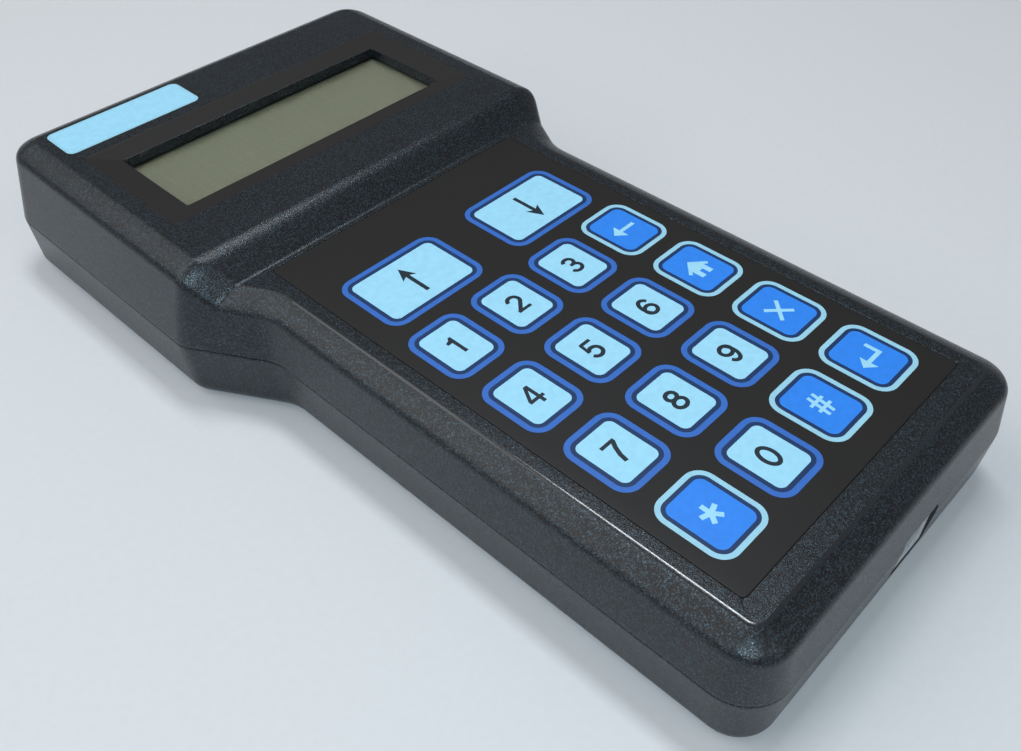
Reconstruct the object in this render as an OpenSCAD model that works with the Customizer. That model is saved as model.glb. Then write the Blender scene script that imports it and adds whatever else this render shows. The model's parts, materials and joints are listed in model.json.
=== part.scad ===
/* [Case] */
// Overall length, foot to crown
case_l = 232; // [226:1:240]
// Width of the display head at the parting line
head_w = 125; // [122:1:128]
// Width of the keypad body at the parting line
body_w = 101; // [99:1:103]
// Height of the keypad face above the base
face_h = 30; // [29.5:0.5:32]
// Rise of the head's face above the keypad face
head_rise = 5.9; // [5.5:0.1:6.5]
// Height of the parting line above the base
seam_h = 15.6; // [15.4:0.1:15.8]
// Wall thickness
wall = 2.5; // [2.2:0.1:2.8]
// Plan radius of the two corners at the foot
foot_r = 10; // [9:0.5:11]
// Plan radius of the two corners at the crown
crown_r = 10; // [9.5:0.5:13]

/* [Keypad] */
// Distance between key columns
key_pitch_x = 19.05; // [18.9:0.05:19.2]
// Distance between key rows
key_pitch_y = 22; // [21.8:0.1:22.2]
// Width of a printed key
key_w = 15.8; // [15:0.1:16]
// Height of a printed key
key_h = 18; // [17:0.1:18.2]
// Width of an arrow key
arrow_w = 29.2; // [28:0.1:30]
// Height of an arrow key
arrow_h = 20.7; // [20:0.1:21]
// How far a key travels when pressed
key_travel = 0.4; // [0.3:0.05:0.4]

/* [Display] */
// Width of the display opening
window_w = 83.4; // [80:0.1:84]
// Height of the display opening
window_h = 28.4; // [27:0.1:29]
// Depth of the display window below the head's face
window_drop = 3.2; // [3:0.1:3.4]

/* [Data jack] */
// Width of the jack's housing
jack_w = 13.2; // [12.8:0.1:13.4]
// Height of the jack's housing
jack_h = 11.5; // [11.3:0.1:11.6]
// Distance of the jack from the middle of the case
jack_x = 7.3; // [5:0.1:9]

/* [Hidden] */
$fn = 48;
gap = 0.1;            // clearance between flush pieces
eps = 0.02;           // overlap that keeps a cut clean
lip_t = 1.1;          // the back shell's lip, which stands up inside the front shell
lip_h = 1.5;

// plan outline of the case at the parting line
neck_start = 14.6;    // where the body begins to flare
neck_end = 35.2;      // where the flare reaches the head's width
neck_in_r = 11;
neck_out_r = 8.5;
arc_steps = 6;
flare_steps = 8;

// section of the front shell's edge: a leaning wall, a round, a chamfer, then the flat face
lean = 1.45;          // how far the wall leans in by the start of the round
round_r = 3;
round_in = 4.42;      // centre of the round, in from the parting line
round_down = 4.7;     // centre of the round, below the face
round_from = 8;
round_to = 66;
face_in = 7.6;        // edge of the flat face, in from the parting line
head_in = 1.8;        // how much further in the head's taller side walls lean
crown_out = 0.4;      // how much less the crown's end wall leans
neck_up = 2;          // how far the neck leans towards the crown
round_steps = 3;

// section of the back shell
base_lean = 1.4;
base_r = 4;
base_head_in = -0.5;  // the head leans less than the body
base_foot_out = 0.7;  // and so does the foot
base_neck_down = -2.4; // the neck leans towards the foot
base_steps = 3;

// the head's front slope
slope_foot = 28.2;
slope_top = 34.6;

// the keypad's sheet
sheet_w = 79.7;
sheet_l = 130;
sheet_y = -38.4;
sheet_r = 1;
row_1_y = -22.6;
arrow_x = 19.7;
arrow_y = 0.5;
film_t = 0.3;
spacer_t = 0.8;
circuit_t = 0.2;
recess_d = film_t + spacer_t + circuit_t;
dome_r = 6;
dome_slack = 0.05;    // between a dome and a key that is fully down
dome_h = spacer_t - key_travel - dome_slack;
dome_t = 0.1;
dome_rim = 0.8;
key_r = 4;

// the keypad's tail, the slot it goes down through and its connector
tail_w = 20;
tail_y = 25.2;
tail_t = 0.2;
tail_slot = [22, 1.8];
tail_end_h = 7.2;
slot_depth = 6;
connector = [24, 4, 3];

// inside surfaces
ceiling_body = 3.4;   // below the keypad face
ceiling_head = 2.7;   // below the head's face
head_z = face_h + head_rise;
floor_h = wall;

// display parts, each from its top face down
window_y = 69.95;
bevel = [97.4, 40.9];
bevel_y = 70.65;
bevel_drop = 0.7;
skirt_t = 1.9;        // wall that runs down round the opening to the pane
skirt_h = 1.5;
pane_t = 0.8;
gasket_t = 0.4;
frame = [97, 40, 7.5];
frame_t = 0.4;
glass = [92, 36, 2.2];
lcd_board_size = [98, 60, 1.6];
lcd_hole_span = [93, 55];
pane_z = head_z - window_drop - pane_t;
gasket_z = pane_z - gasket_t;
lcd_board_z = gasket_z - frame[2] - lcd_board_size[2];
lcd_holes = [for (x = [-1, 1], y = [-1, 1])
    [x * lcd_hole_span[0] / 2, window_y + y * lcd_hole_span[1] / 2]];
skirt = [window_w + 2 * skirt_t, window_h + 2 * skirt_t];

// main board
board_t = 1.6;
board_z = 4;
board_w = 74;
board_from = -110.6;
board_to = 49.4;
board_top = board_z + board_t;
board_holes = [[-33, -100], [33, -100], [-33, 38], [33, 38]];
header_y = 43;
header_n = 16;
header_pitch = 2.54;
header_w = 2.5;
header_x = [for (i = [0:header_n - 1]) (i - (header_n - 1) / 2) * header_pitch];
pin = 0.64;
pin_l = 10.6;
pin_down = 8;         // how far the pins reach below the display board

// fasteners
case_holes = [[-41.5, -104.6], [41.5, -104.6], [-52.5, 104.4], [52.5, 104.4]];
case_screw_d = 2.9;
case_screw_l = 11.5;
case_screw_head = [5.6, 2.2];
case_bore_d = 2.94;
case_clear_d = 3.24;
counterbore_d = 6.2;
counterbore_h = 12;
small_screw_d = 2.4;
small_bore_d = 2.44;
small_screw_head = [4.8, 1.7];
lcd_screw_l = 7;
board_screw_l = 4.2;
board_clear_d = 2.7;
bore_spare = 0.5;     // how much deeper than its screw a blind bore goes
boss_d = 7;
lcd_boss_d = 6;
base_boss_d = 8.8;
boss_root = 0.5;      // how far a boss runs into the wall it stands on
boss_from = 1;        // height at which the back shell's bosses and blind bores start

// data jack
jack_l = 17;
jack_face_y = -115.2;
jack_hole = [9.8, 6.8, 12];
jack_hole_up = 2.7;
jack_latch = [4, 1.6, 9];
jack_reach = 9;       // how far the case's cut for the jack goes in
contact_n = 6;
contact_pitch = 1.02;
contact_t = 0.35;
contact_hang = 1.75;  // how far a contact's spring end hangs into the plug's way

// label
label = [39.6, 13, 0.15];
label_x = -30.4;
label_y = 101.4;
label_r = 2;

plastic = "#1d2023";
film_black = "#1e1b1a";
pale_blue = "#b0e2fa";
vivid_blue = "#237df0";

// ---- plan outline ----
// The outline is set in by d from the parting line, with more or less at the head, foot and
// crown. The right half runs from foot to crown.
function arc(c, r, from, to, n) = [for (i = [0:n])
    let(a = from + (to - from) * i / n) c + r * [cos(a), sin(a)]];
flare_angle = atan2((head_w - body_w) / 2, neck_end - neck_start);
function flare_shift(d) = d * (1 - cos(flare_angle)) / sin(flare_angle);
function round_tan(r) = r * tan(flare_angle / 2);
function right_half(d, head, foot, crown, neck) = let(
    bw = body_w / 2 - d,
    hw = head_w / 2 - d - head,
    y0 = -case_l / 2 + d - foot,
    y1 = case_l / 2 - d + crown,
    fr = foot_r - d,
    cr = crown_r - d,
    ir = neck_in_r + d,
    or = neck_out_r - d,
    ya = neck_start + flare_shift(d) + neck,
    yb = ya + (hw - bw) / tan(flare_angle),
    inner = arc([bw + ir, ya - round_tan(ir)], ir, 180, 180 - flare_angle, arc_steps),
    outer = arc([hw - or, yb + round_tan(or)], or, -flare_angle, 0, arc_steps),
    p = inner[arc_steps],
    q = outer[0]
) concat(
    arc([bw - fr, y0 + fr], fr, -90, 0, arc_steps),
    inner,
    [for (i = [1:flare_steps - 1]) p + (q - p) * i / flare_steps],
    outer,
    arc([hw - cr, y1 - cr], cr, 0, 90, arc_steps));
half_n = 4 * (arc_steps + 1) + flare_steps - 1;
function outline(d, head = 0, foot = 0, crown = 0, neck = 0) =
    let(h = right_half(d, head, foot, crown, neck))
    concat(h, [for (i = [half_n - 1:-1:0]) [-h[i][0], h[i][1]]]);

// ---- lofted shells ----
// How much of the head's rise is reached at y.
function rise(y) = min(1, max(0, (y - slope_foot) / (slope_top - slope_foot)));
// A ring of the front shell, set in by d, at depth z below the local face.
function ring_below(d, z) = [for (p = outline(d, head_in, 0, crown_out, neck_up))
    [p[0], p[1], face_h + head_rise * rise(p[1]) - z]];
// A ring of the back shell near the base, at height z.
function ring_base(d, z) = [for (p = outline(d, base_head_in, base_foot_out, 0, base_neck_down))
    [p[0], p[1], z]];
// A ring of the front shell's ceiling, inside.
function ceiling_at(y) = face_h - ceiling_body + (head_rise + ceiling_body - ceiling_head) * rise(y);
function ring_ceiling(d) = [for (p = outline(d, head_in, 0, 0, neck_up)) [p[0], p[1], ceiling_at(p[1])]];
// A ring straight in from the parting line, at height z.
function ring_at(d, z) = [for (p = outline(d)) [p[0], p[1], z]];
ring_n = 2 * half_n;
// Two triangles for each step along ring k and the ring above it.
function side(k) = [for (i = [0:ring_n - 1], t = [0, 1])
    let(j = (i + 1) % ring_n, a = k * ring_n, b = a + ring_n)
    t == 0 ? [a + j, a + i, b + i] : [a + j, b + i, b + j]];
// Strips from the right half of ring k to its mirror image.
function cap(k, flip) = [for (i = [0:half_n - 2])
    let(a = k * ring_n, l = ring_n - 1, strip = [a + i, a + i + 1, a + l - i - 1, a + l - i])
    flip ? strip : [strip[3], strip[2], strip[1], strip[0]]];
// A closed solid through a list of rings, capped by strips across the case.
module loft(rings) {
    n = len(rings);
    points = [for (r = rings, p = r) p];
    faces = concat([for (k = [0:n - 2], f = side(k)) f], cap(0, true), cap(n - 1, false));
    polyhedron(points, faces);
}

round_rings = [for (i = [0:round_steps])
    let(a = round_from + (round_to - round_from) * i / round_steps)
    ring_below(round_in - round_r * cos(a), round_down - round_r * sin(a))];

module front_outer()
    loft(concat([ring_at(0, seam_h)], round_rings, [ring_below(face_in, 0)]));
module front_inner()
    loft([ring_at(wall, seam_h - 1), ring_at(wall, seam_h + eps), ring_ceiling(wall + lean + 1)]);
module back_outer()
    loft(concat([for (i = [0:base_steps]) let(a = 90 * i / base_steps)
        ring_base(base_lean + base_r * (1 - sin(a)), base_r * (1 - cos(a)))], [ring_at(0, seam_h)]));
module back_inner()
    loft([ring_base(base_lean + base_r, floor_h), ring_base(base_lean + wall, base_r + floor_h / 2),
        ring_at(wall, seam_h + 1)]);

// ---- shared shapes ----
module rounded(w, h, r) {
    square([w - 2 * r, h], center = true);
    square([w, h - 2 * r], center = true);
    for (x = [-1, 1], y = [-1, 1]) translate([x * (w / 2 - r), y * (h / 2 - r)]) circle(r);
}
module plate(w, h, t, r) linear_extrude(t) rounded(w, h, r);
module block(size) translate([-size[0] / 2, -size[1] / 2, 0]) cube(size);
// A cross-head screw that points up, with the underside of its head at the origin.
module screw(shank_d, shank_l, head) {
    cylinder(h = shank_l, d = shank_d);
    difference() {
        translate([0, 0, -head[1]]) cylinder(h = head[1], d = head[0]);
        for (a = [0, 90]) rotate([0, 0, a]) translate([0, 0, -head[1] - eps])
            block([head[0] * 0.6, 0.8, head[1] * 0.6]);
    }
}
function key_x(col) = (col - 1.5) * key_pitch_x;
function key_y(row) = row_1_y - row * key_pitch_y;
key_spots = [for (row = [0:3], col = [0:3]) [key_x(col), key_y(row), key_w, key_h]];
arrow_spots = [for (s = [-1, 1]) [s * arrow_x, arrow_y, arrow_w, arrow_h]];
all_spots = concat(key_spots, arrow_spots);
module key_openings(extra, t) for (k = all_spots)
    translate([k[0], k[1], 0]) plate(k[2] + extra, k[3] + extra, t, key_r);
module sheet(t) translate([0, sheet_y, 0]) plate(sheet_w, sheet_l, t, sheet_r);
module tail_notch() translate([0, tail_y, face_h - 2]) block([tail_slot[0], tail_slot[1], 2]);

// ---- case ----
module bevel_cut() {
    z0 = head_z - bevel_drop;
    z1 = head_z;
    b = bevel / 2;
    w = [window_w, window_h] / 2;
    corners = [[-1, -1], [1, -1], [1, 1], [-1, 1]];
    low = [for (c = corners) [c[0] * w[0], window_y + c[1] * w[1], z0]];
    top = [for (c = corners) [c[0] * b[0], bevel_y + c[1] * b[1], z1]];
    over = [for (p = top) p + [0, 0, 1]];
    side_faces = [for (k = [0, 4], i = [0:3])
        let(j = (i + 1) % 4) [k + j, k + i, k + 4 + i, k + 4 + j]];
    polyhedron(concat(low, top, over), concat([[0, 1, 2, 3]], side_faces, [[11, 10, 9, 8]]));
}
function ceiling_over(p) = p[1] > slope_top ? head_z - ceiling_head : face_h - ceiling_body;
module jack_cut(from, to)
    translate([jack_x, -case_l / 2, from]) block([jack_w + 2 * gap, jack_reach, to - from]);
module front_bosses() {
    for (p = case_holes) translate([p[0], p[1], seam_h])
        cylinder(h = ceiling_over(p) + boss_root - seam_h, d = boss_d);
    for (p = lcd_holes) translate([p[0], p[1], lcd_board_z + lcd_board_size[2]])
        cylinder(h = ceiling_over(p) + boss_root - lcd_board_z - lcd_board_size[2], d = lcd_boss_d);
}
module front_bores() {
    for (p = case_holes) translate([p[0], p[1], seam_h - eps])
        cylinder(h = counterbore_h + case_screw_l + bore_spare - seam_h, d = case_bore_d);
    for (p = lcd_holes) translate([p[0], p[1], lcd_board_z])
        cylinder(h = lcd_screw_l + bore_spare, d = small_bore_d);
}
module front_shell() color(plastic) difference() {
    union() {
        difference() {
            front_outer();
            front_inner();
            translate([0, 0, seam_h - 1]) linear_extrude(lip_h + gap + 1)
                polygon(outline(wall - lip_t - gap));
        }
        translate([0, window_y, pane_z + pane_t]) block([skirt[0], skirt[1], skirt_h]);
        front_bosses();
    }
    bevel_cut();
    translate([0, window_y, pane_z + pane_t - eps]) block([window_w, window_h, window_drop + 1]);
    translate([0, sheet_y, face_h - recess_d])
        plate(sheet_w + 2 * gap, sheet_l + 2 * gap, recess_d + 1, sheet_r);
    translate([0, tail_y, face_h - slot_depth]) block([tail_slot[0], tail_slot[1], slot_depth]);
    translate([label_x, label_y, head_z - label[2]]) plate(label[0] + gap, label[1] + gap, 1, label_r);
    front_bores();
    jack_cut(seam_h - 1, board_top + jack_h + gap);
}
module back_shell() color(plastic) difference() {
    union() {
        difference() {
            back_outer();
            back_inner();
        }
        translate([0, 0, seam_h - 2]) linear_extrude(lip_h + 2) difference() {
            polygon(outline(wall - lip_t));
            polygon(outline(wall));
        }
        for (p = case_holes) translate([p[0], p[1], boss_from])
            cylinder(h = seam_h - boss_from, d = base_boss_d);
        for (p = board_holes) translate([p[0], p[1], boss_from])
            cylinder(h = board_z - boss_from, d = boss_d);
    }
    for (p = case_holes) translate([p[0], p[1], -eps]) {
        cylinder(h = counterbore_h + eps, d = counterbore_d);
        cylinder(h = seam_h + 1, d = case_clear_d);
    }
    for (p = board_holes) translate([p[0], p[1], boss_from]) cylinder(h = board_z, d = small_bore_d);
    jack_cut(board_top - gap, seam_h + lip_h + 1);
}

// ---- keypad ----
module keypad_overlay() color(film_black) difference() {
    translate([0, 0, face_h - film_t]) sheet(film_t);
    translate([0, 0, face_h - film_t - 1]) key_openings(2 * gap, film_t + 2);
}
module key(x, y, w, h, tone) color(tone) translate([x, y, face_h - film_t]) plate(w, h, film_t, key_r);
module small_key(col, row, tone) key(key_x(col), key_y(row), key_w, key_h, tone);
module key_up() key(-arrow_x, arrow_y, arrow_w, arrow_h, pale_blue);
module key_down() key(arrow_x, arrow_y, arrow_w, arrow_h, pale_blue);
module key_1() small_key(0, 0, pale_blue);
module key_2() small_key(1, 0, pale_blue);
module key_3() small_key(2, 0, pale_blue);
module key_4() small_key(0, 1, pale_blue);
module key_5() small_key(1, 1, pale_blue);
module key_6() small_key(2, 1, pale_blue);
module key_7() small_key(0, 2, pale_blue);
module key_8() small_key(1, 2, pale_blue);
module key_9() small_key(2, 2, pale_blue);
module key_0() small_key(1, 3, pale_blue);
module key_star() small_key(0, 3, vivid_blue);
module key_hash() small_key(2, 3, vivid_blue);
module key_back() small_key(3, 0, vivid_blue);
module key_home() small_key(3, 1, vivid_blue);
module key_clear() small_key(3, 2, vivid_blue);
module key_enter() small_key(3, 3, vivid_blue);
module dome_spacer() color("#d9d4c4") difference() {
    translate([0, 0, face_h - film_t - spacer_t]) sheet(spacer_t);
    translate([0, 0, face_h - film_t - spacer_t - 1]) key_openings(4 * gap, spacer_t + 2);
    tail_notch();
}
module snap_domes() color("silver") for (k = all_spots) translate([k[0], k[1], face_h - recess_d + circuit_t])
    rotate_extrude() polygon([[0, dome_h - dome_t], [0, dome_h], [dome_r / 3, dome_h - 0.02],
        [dome_r, dome_t], [dome_r, 0], [dome_r - dome_rim, 0], [dome_r / 3, dome_h - dome_t - 0.02]]);
module keypad_circuit() color("#c9a227") {
    difference() {
        translate([0, 0, face_h - recess_d]) sheet(circuit_t);
        tail_notch();
    }
    translate([-tail_w / 2, tail_y - tail_slot[1] / 2 - eps, face_h - recess_d])
        cube([tail_w, tail_slot[1] / 2 + tail_t, circuit_t]);
    translate([-tail_w / 2, tail_y, tail_end_h])
        cube([tail_w, tail_t, face_h - recess_d - tail_end_h + circuit_t]);
}
module tail_connector() color("#e8e4d8") translate([0, tail_y + tail_t / 2, board_top]) difference() {
    block(connector);
    translate([0, 0, tail_end_h - board_top - gap]) block([tail_w + 0.4, 0.5, 3]);
}
module name_label() color(pale_blue)
    translate([label_x, label_y, head_z - label[2]]) plate(label[0], label[1], label[2], label_r);

// ---- display ----
module display_window() color("#c8d0cc", 0.5)
    translate([0, window_y, pane_z]) block([skirt[0], skirt[1], pane_t]);
module lcd_gasket() color("#222222") translate([0, window_y, gasket_z]) difference() {
    block([skirt[0], skirt[1], gasket_t]);
    translate([0, 0, -1]) block([window_w + 0.6, window_h + 0.6, gasket_t + 2]);
}
module lcd_frame() color("#2a2c2e") translate([0, window_y, gasket_z - frame[2]]) difference() {
    block(frame);
    translate([0, 0, -1]) block([frame[0] - 2 * frame_t, frame[1] - 2 * frame_t, frame[2] + 1 - frame_t]);
    translate([0, 0, 1]) block([window_w + 1.2, window_h + 1.2, frame[2]]);
}
module lcd_glass() color("#7c7c5a")
    translate([0, window_y, gasket_z - frame_t - glass[2]]) block(glass);
module lcd_backlight() color("#e6e2c8")
    translate([0, window_y, gasket_z - frame[2]]) block([glass[0], glass[1], frame[2] - frame_t - glass[2]]);
module lcd_board() color("#1f5a3a") difference() {
    translate([0, window_y, lcd_board_z]) block(lcd_board_size);
    for (p = lcd_holes) translate([p[0], p[1], lcd_board_z - 1])
        cylinder(h = lcd_board_size[2] + 2, d = board_clear_d);
    for (x = header_x) translate([x, header_y, lcd_board_z - 1])
        cylinder(h = lcd_board_size[2] + 2, d = 1.1);
}
module lcd_screws() color("silver") for (p = lcd_holes)
    translate([p[0], p[1], lcd_board_z]) screw(small_screw_d, lcd_screw_l, small_screw_head);
module lcd_header() color("#111111") {
    difference() {
        translate([0, header_y, lcd_board_z - header_w]) block([header_n * header_pitch, header_w, header_w]);
        for (x = header_x) translate([x, header_y, lcd_board_z - header_w - 1])
            block([pin, pin, header_w + 2]);
    }
    for (x = header_x) translate([x, header_y, lcd_board_z - pin_down]) block([pin, pin, pin_l]);
}
module lcd_socket() color("#111111") difference() {
    translate([0, header_y, board_top])
        block([header_n * header_pitch, header_w, lcd_board_z - header_w - gap - board_top]);
    for (x = header_x) translate([x, header_y, lcd_board_z - pin_down - bore_spare])
        block([0.8, 0.8, pin_down]);
}

// ---- main board ----
module main_board() color("#1f5a3a") difference() {
    translate([-board_w / 2, board_from, board_z]) cube([board_w, board_to - board_from, board_t]);
    for (p = board_holes) translate([p[0], p[1], board_z - 1]) cylinder(h = board_t + 2, d = board_clear_d);
}
module board_chips() color("#18191b") {
    translate([-6, -40, board_top]) block([20, 20, 2.6]);
    translate([18, -44, board_top]) block([10.3, 7.5, 2.4]);
    translate([8, -84, board_top]) block([10.3, 6, 2.2]);
    translate([-20, 4, board_top]) block([17.9, 10.3, 2.5]);
}
module board_capacitors() color("#2b3a66") for (p = [[-14, -92], [-24, -92], [-24, -80]])
    translate([p[0], p[1], board_top]) cylinder(h = 7.5, d = 6.3);
module crystal() color("silver") translate([-6, -62, board_top]) plate(11.2, 4.6, 3.6, 2.2);
module board_screws() color("silver") for (p = board_holes)
    translate([p[0], p[1], board_top]) mirror([0, 0, 1])
        screw(small_screw_d, board_screw_l, small_screw_head);

// ---- data jack ----
module data_jack() color("#b9bcbd") translate([jack_x, jack_face_y, board_top]) difference() {
    translate([-jack_w / 2, 0, 0]) cube([jack_w, jack_l, jack_h]);
    translate([-jack_hole[0] / 2, -1, jack_hole_up]) cube([jack_hole[0], jack_hole[2] + 1, jack_hole[1]]);
    translate([-jack_latch[0] / 2, -1, jack_hole_up - jack_latch[1]])
        cube([jack_latch[0], jack_latch[2] + 1, jack_latch[1] + 1]);
}
// Each contact lies along the roof of the hole and folds back into a spring end.
module jack_contacts() color("gold") for (i = [0:contact_n - 1])
    translate([jack_x + (i - (contact_n - 1) / 2) * contact_pitch + 0.2, jack_face_y,
        board_top + jack_hole_up + jack_hole[1]])
    rotate([90, 0, -90]) linear_extrude(0.4)
    polygon([[-jack_hole[2], 0], [-1.6, 0], [-1.2, -0.3], [-10, -contact_hang - contact_t],
        [-10, -contact_hang], [-2.4, -contact_t], [-jack_hole[2], -contact_t]]);
module case_screws() color("silver") for (p = case_holes)
    translate([p[0], p[1], counterbore_h]) screw(case_screw_d, case_screw_l, case_screw_head);

front_shell();
back_shell();
keypad_overlay();
key_up();
key_down();
key_1();
key_2();
key_3();
key_4();
key_5();
key_6();
key_7();
key_8();
key_9();
key_0();
key_star();
key_hash();
key_back();
key_home();
key_clear();
key_enter();
dome_spacer();
snap_domes();
keypad_circuit();
tail_connector();
name_label();
display_window();
lcd_gasket();
lcd_frame();
lcd_glass();
lcd_backlight();
lcd_board();
lcd_screws();
lcd_header();
lcd_socket();
main_board();
board_chips();
board_capacitors();
crystal();
board_screws();
data_jack();
jack_contacts();
case_screws();
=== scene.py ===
"""The looks of a handheld data collector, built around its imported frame.

Lengths are in millimetres up to the moment a vertex is made. The frame has its origin in the middle
of the base, +Y towards the display head and +Z out of the keypad.
"""

import json
import math

import bmesh
import bpy
from mathutils import Matrix, Vector
from mathutils.geometry import delaunay_2d_cdt


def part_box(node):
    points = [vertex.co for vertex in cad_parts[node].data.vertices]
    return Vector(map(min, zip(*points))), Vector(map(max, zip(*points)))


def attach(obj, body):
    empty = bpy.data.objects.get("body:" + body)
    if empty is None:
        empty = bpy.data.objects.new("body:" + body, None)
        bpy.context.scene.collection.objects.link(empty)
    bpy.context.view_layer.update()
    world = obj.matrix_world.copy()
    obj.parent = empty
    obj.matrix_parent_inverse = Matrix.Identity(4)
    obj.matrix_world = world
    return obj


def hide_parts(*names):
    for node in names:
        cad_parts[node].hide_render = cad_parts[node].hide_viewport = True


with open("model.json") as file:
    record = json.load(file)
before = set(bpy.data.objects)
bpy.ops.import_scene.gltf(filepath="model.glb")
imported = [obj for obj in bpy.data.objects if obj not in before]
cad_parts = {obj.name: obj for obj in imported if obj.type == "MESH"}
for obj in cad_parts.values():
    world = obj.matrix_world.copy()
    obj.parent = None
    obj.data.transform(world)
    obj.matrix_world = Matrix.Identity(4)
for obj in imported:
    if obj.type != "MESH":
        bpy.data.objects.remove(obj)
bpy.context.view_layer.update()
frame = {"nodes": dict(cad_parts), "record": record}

MM = 0.001


def box_mm(node):
    """Lowest and highest corner of a CAD node, in millimetres."""
    low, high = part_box(node)
    return low / MM, high / MM


def centre_mm(node):
    low, high = box_mm(node)
    return (low + high) / 2


def size_mm(node):
    low, high = box_mm(node)
    return high - low


# ---- sizes that the frame gives ----
SEAM_Z = box_mm("front_shell")[0].z
HEAD_Z = box_mm("front_shell")[1].z
FACE_Z = box_mm("keypad_overlay")[1].z
CASE_L = size_mm("front_shell").y
HEAD_W = size_mm("front_shell").x
HEAD_RISE = HEAD_Z - FACE_Z
SHEET_SIZE = size_mm("keypad_overlay")
SHEET = centre_mm("keypad_overlay")
LABEL_SIZE = size_mm("name_label")
LABEL = centre_mm("name_label")
PANE_SIZE = size_mm("display_window")
PANE_TOP = box_mm("display_window")[1].z
JACK_LOW, JACK_HIGH = box_mm("data_jack")
JACK_X = (JACK_LOW.x + JACK_HIGH.x) / 2
JACK_Z = (JACK_LOW.z + JACK_HIGH.z) / 2
JACK_W = JACK_HIGH.x - JACK_LOW.x
JACK_H = JACK_HIGH.z - JACK_LOW.z
JACK_R = 0.5

# ---- sizes that repeat the case's section ----
# plan
BODY_W = 101.0
WALL = 2.5
FOOT_R = 10.0
CROWN_R = 10.0
NECK_START = 14.6
NECK_END = 35.2
NECK_IN_R = 11.0
NECK_OUT_R = 8.5
# upper edge: a round, a crowned chamfer and a crease, as insets and drops from the wall and the face
ROUND_R = 3.0
ROUND_IN = 4.42
ROUND_DOWN = 4.7
ROUND_FROM = 8.0
ROUND_TO = 56.0
FACE_IN = 7.6
FACE_CREASE = 15.0
SHOULDER_STEPS = 12
POLISHED_BEND = [(-0.42, 0.083), (0.02, 0.008), (0.10, 0.0)]
# how the head, the crown and the neck of the outline shift towards the face and the base
HEAD_IN = 1.8
CROWN_OUT = 0.4
NECK_UP = 2.0
BASE_LEAN = 1.4
BASE_R = 4.0
BASE_HEAD_IN = -0.5
BASE_FOOT_OUT = 0.7
BASE_NECK_DOWN = -2.4
BASE_TURN_STEPS = 9
# slope from the keypad's face up to the head's face, along Y
SLOPE_FOOT = 28.2
SLOPE_TOP = 34.6
SLOPE_FOOT_SOFT = 0.6
SLOPE_TOP_SOFT = 2.4
SLOPE_MARGIN = 0.3
CEILING_MARGIN = 0.8
CEILING_SOFT = 0.6
# panels sunk into the face, and the walls' thickness
RECESS_DEPTH = 1.3
RECESS_EDGE = 0.15
SHEET_R = 1.0
SHEET_EDGE = [(0.0, 0.15), (0.05, 0.05), (0.17, 0.0)]
LABEL_R = 2.0
LABEL_EDGE = 0.05
LABEL_BORDER = 0.75
FLOOR_H = 2.5
CEILING_BODY = 3.4
CEILING_HEAD = 2.7
CEILING_IN = 2.45
TAIL_SLOT = (22.0, 1.8, 25.2)
TAIL_SLOT_R = 0.4
# display opening: its bevel's size and edge, and the edge and skirt of the window's walls
SKIRT = 1.9
BEVEL_SIZE = (97.4, 40.9)
BEVEL_R = 1.2
BEVEL_Y = 70.65
BEVEL_DROP = 0.7
BEVEL_EDGE = [(0.12, 0.0), (0.0, 0.02), (-0.12, 0.09)]
WINDOW_R = 0.5
WINDOW_SOFT = 0.3
WINDOW_EDGE = [(0.09, 0.09), (0.0, 0.3)]
# seam between the shells, with the back shell's lip inside it
LIP = 1.1
LIP_H = 1.5
LIP_ROOT = 1.0
SEAM_GAP = 0.06
SEAM_ROUND = 0.22
SEAM_EDGE = 0.3
GAP = 0.1
# cut for the jack: how far it goes in, where its mouth's flare starts and ends, and the flare
JACK_CUT = 9.0
MOUTH_START = 0.9
MOUTH_END = 0.6
MOUTH_FLARE = 0.3
CUT_OVERSHOOT = 4.0
# screws
CASE_SCREWS = [(-41.5, -104.6), (41.5, -104.6), (-52.5, 104.4), (52.5, 104.4)]
BOARD_SCREWS = [(-33, -100), (33, -100), (-33, 38), (33, 38)]
COUNTERBORE_R = 3.1
COUNTERBORE_H = 12.0
WELL_EDGE = [(0.35, 0.0), (0.1, 0.1), (0.0, 0.35), (0.0, FLOOR_H)]
SCREW_HOLE_R = 1.62
FRONT_BORE_R = 1.47
SMALL_HOLE_R = 1.22
BASE_BOSS_R = 4.4
BOARD_BOSS_R = 3.5
BOARD_Z = 4.0
BOSS_ROOT = 0.01

ARC_STEPS = 14
SHARP = math.radians(35)
FLARE_STEPS = 40
KEY_R = 4.0
DOME_R = 6.0
DOME_T = 0.1
DOME_RIM = 0.8
DOME_CROWN = 0.02
PRINT_GAP = 0.03


# ---- plane curves ----
def arc(cx, cy, r, start, end, steps=ARC_STEPS, ry=None):
    """Points on a circle or an ellipse, from one angle to another in degrees."""
    angles = [math.radians(start + (end - start) * i / steps) for i in range(steps + 1)]
    return [(cx + r * math.cos(a), cy + (ry or r) * math.sin(a)) for a in angles]


def rounded_rect(w, h, r, cx=0.0, cy=0.0, steps=8):
    """A rectangle with round corners, anticlockwise from its lower right corner."""
    x, y = w / 2 - r, h / 2 - r
    corners = [(x, -y, -90), (x, y, 0), (-x, y, 90), (-x, -y, 180)]
    return [p for px, py, a in corners for p in arc(cx + px, cy + py, r, a, a + 90, steps)]


def circle(r, cx=0.0, cy=0.0, steps=40):
    return arc(cx, cy, r, 0, 360 * (1 - 1 / steps), steps - 1)


FLARE = math.atan2((HEAD_W - BODY_W) / 2, NECK_END - NECK_START)


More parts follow.
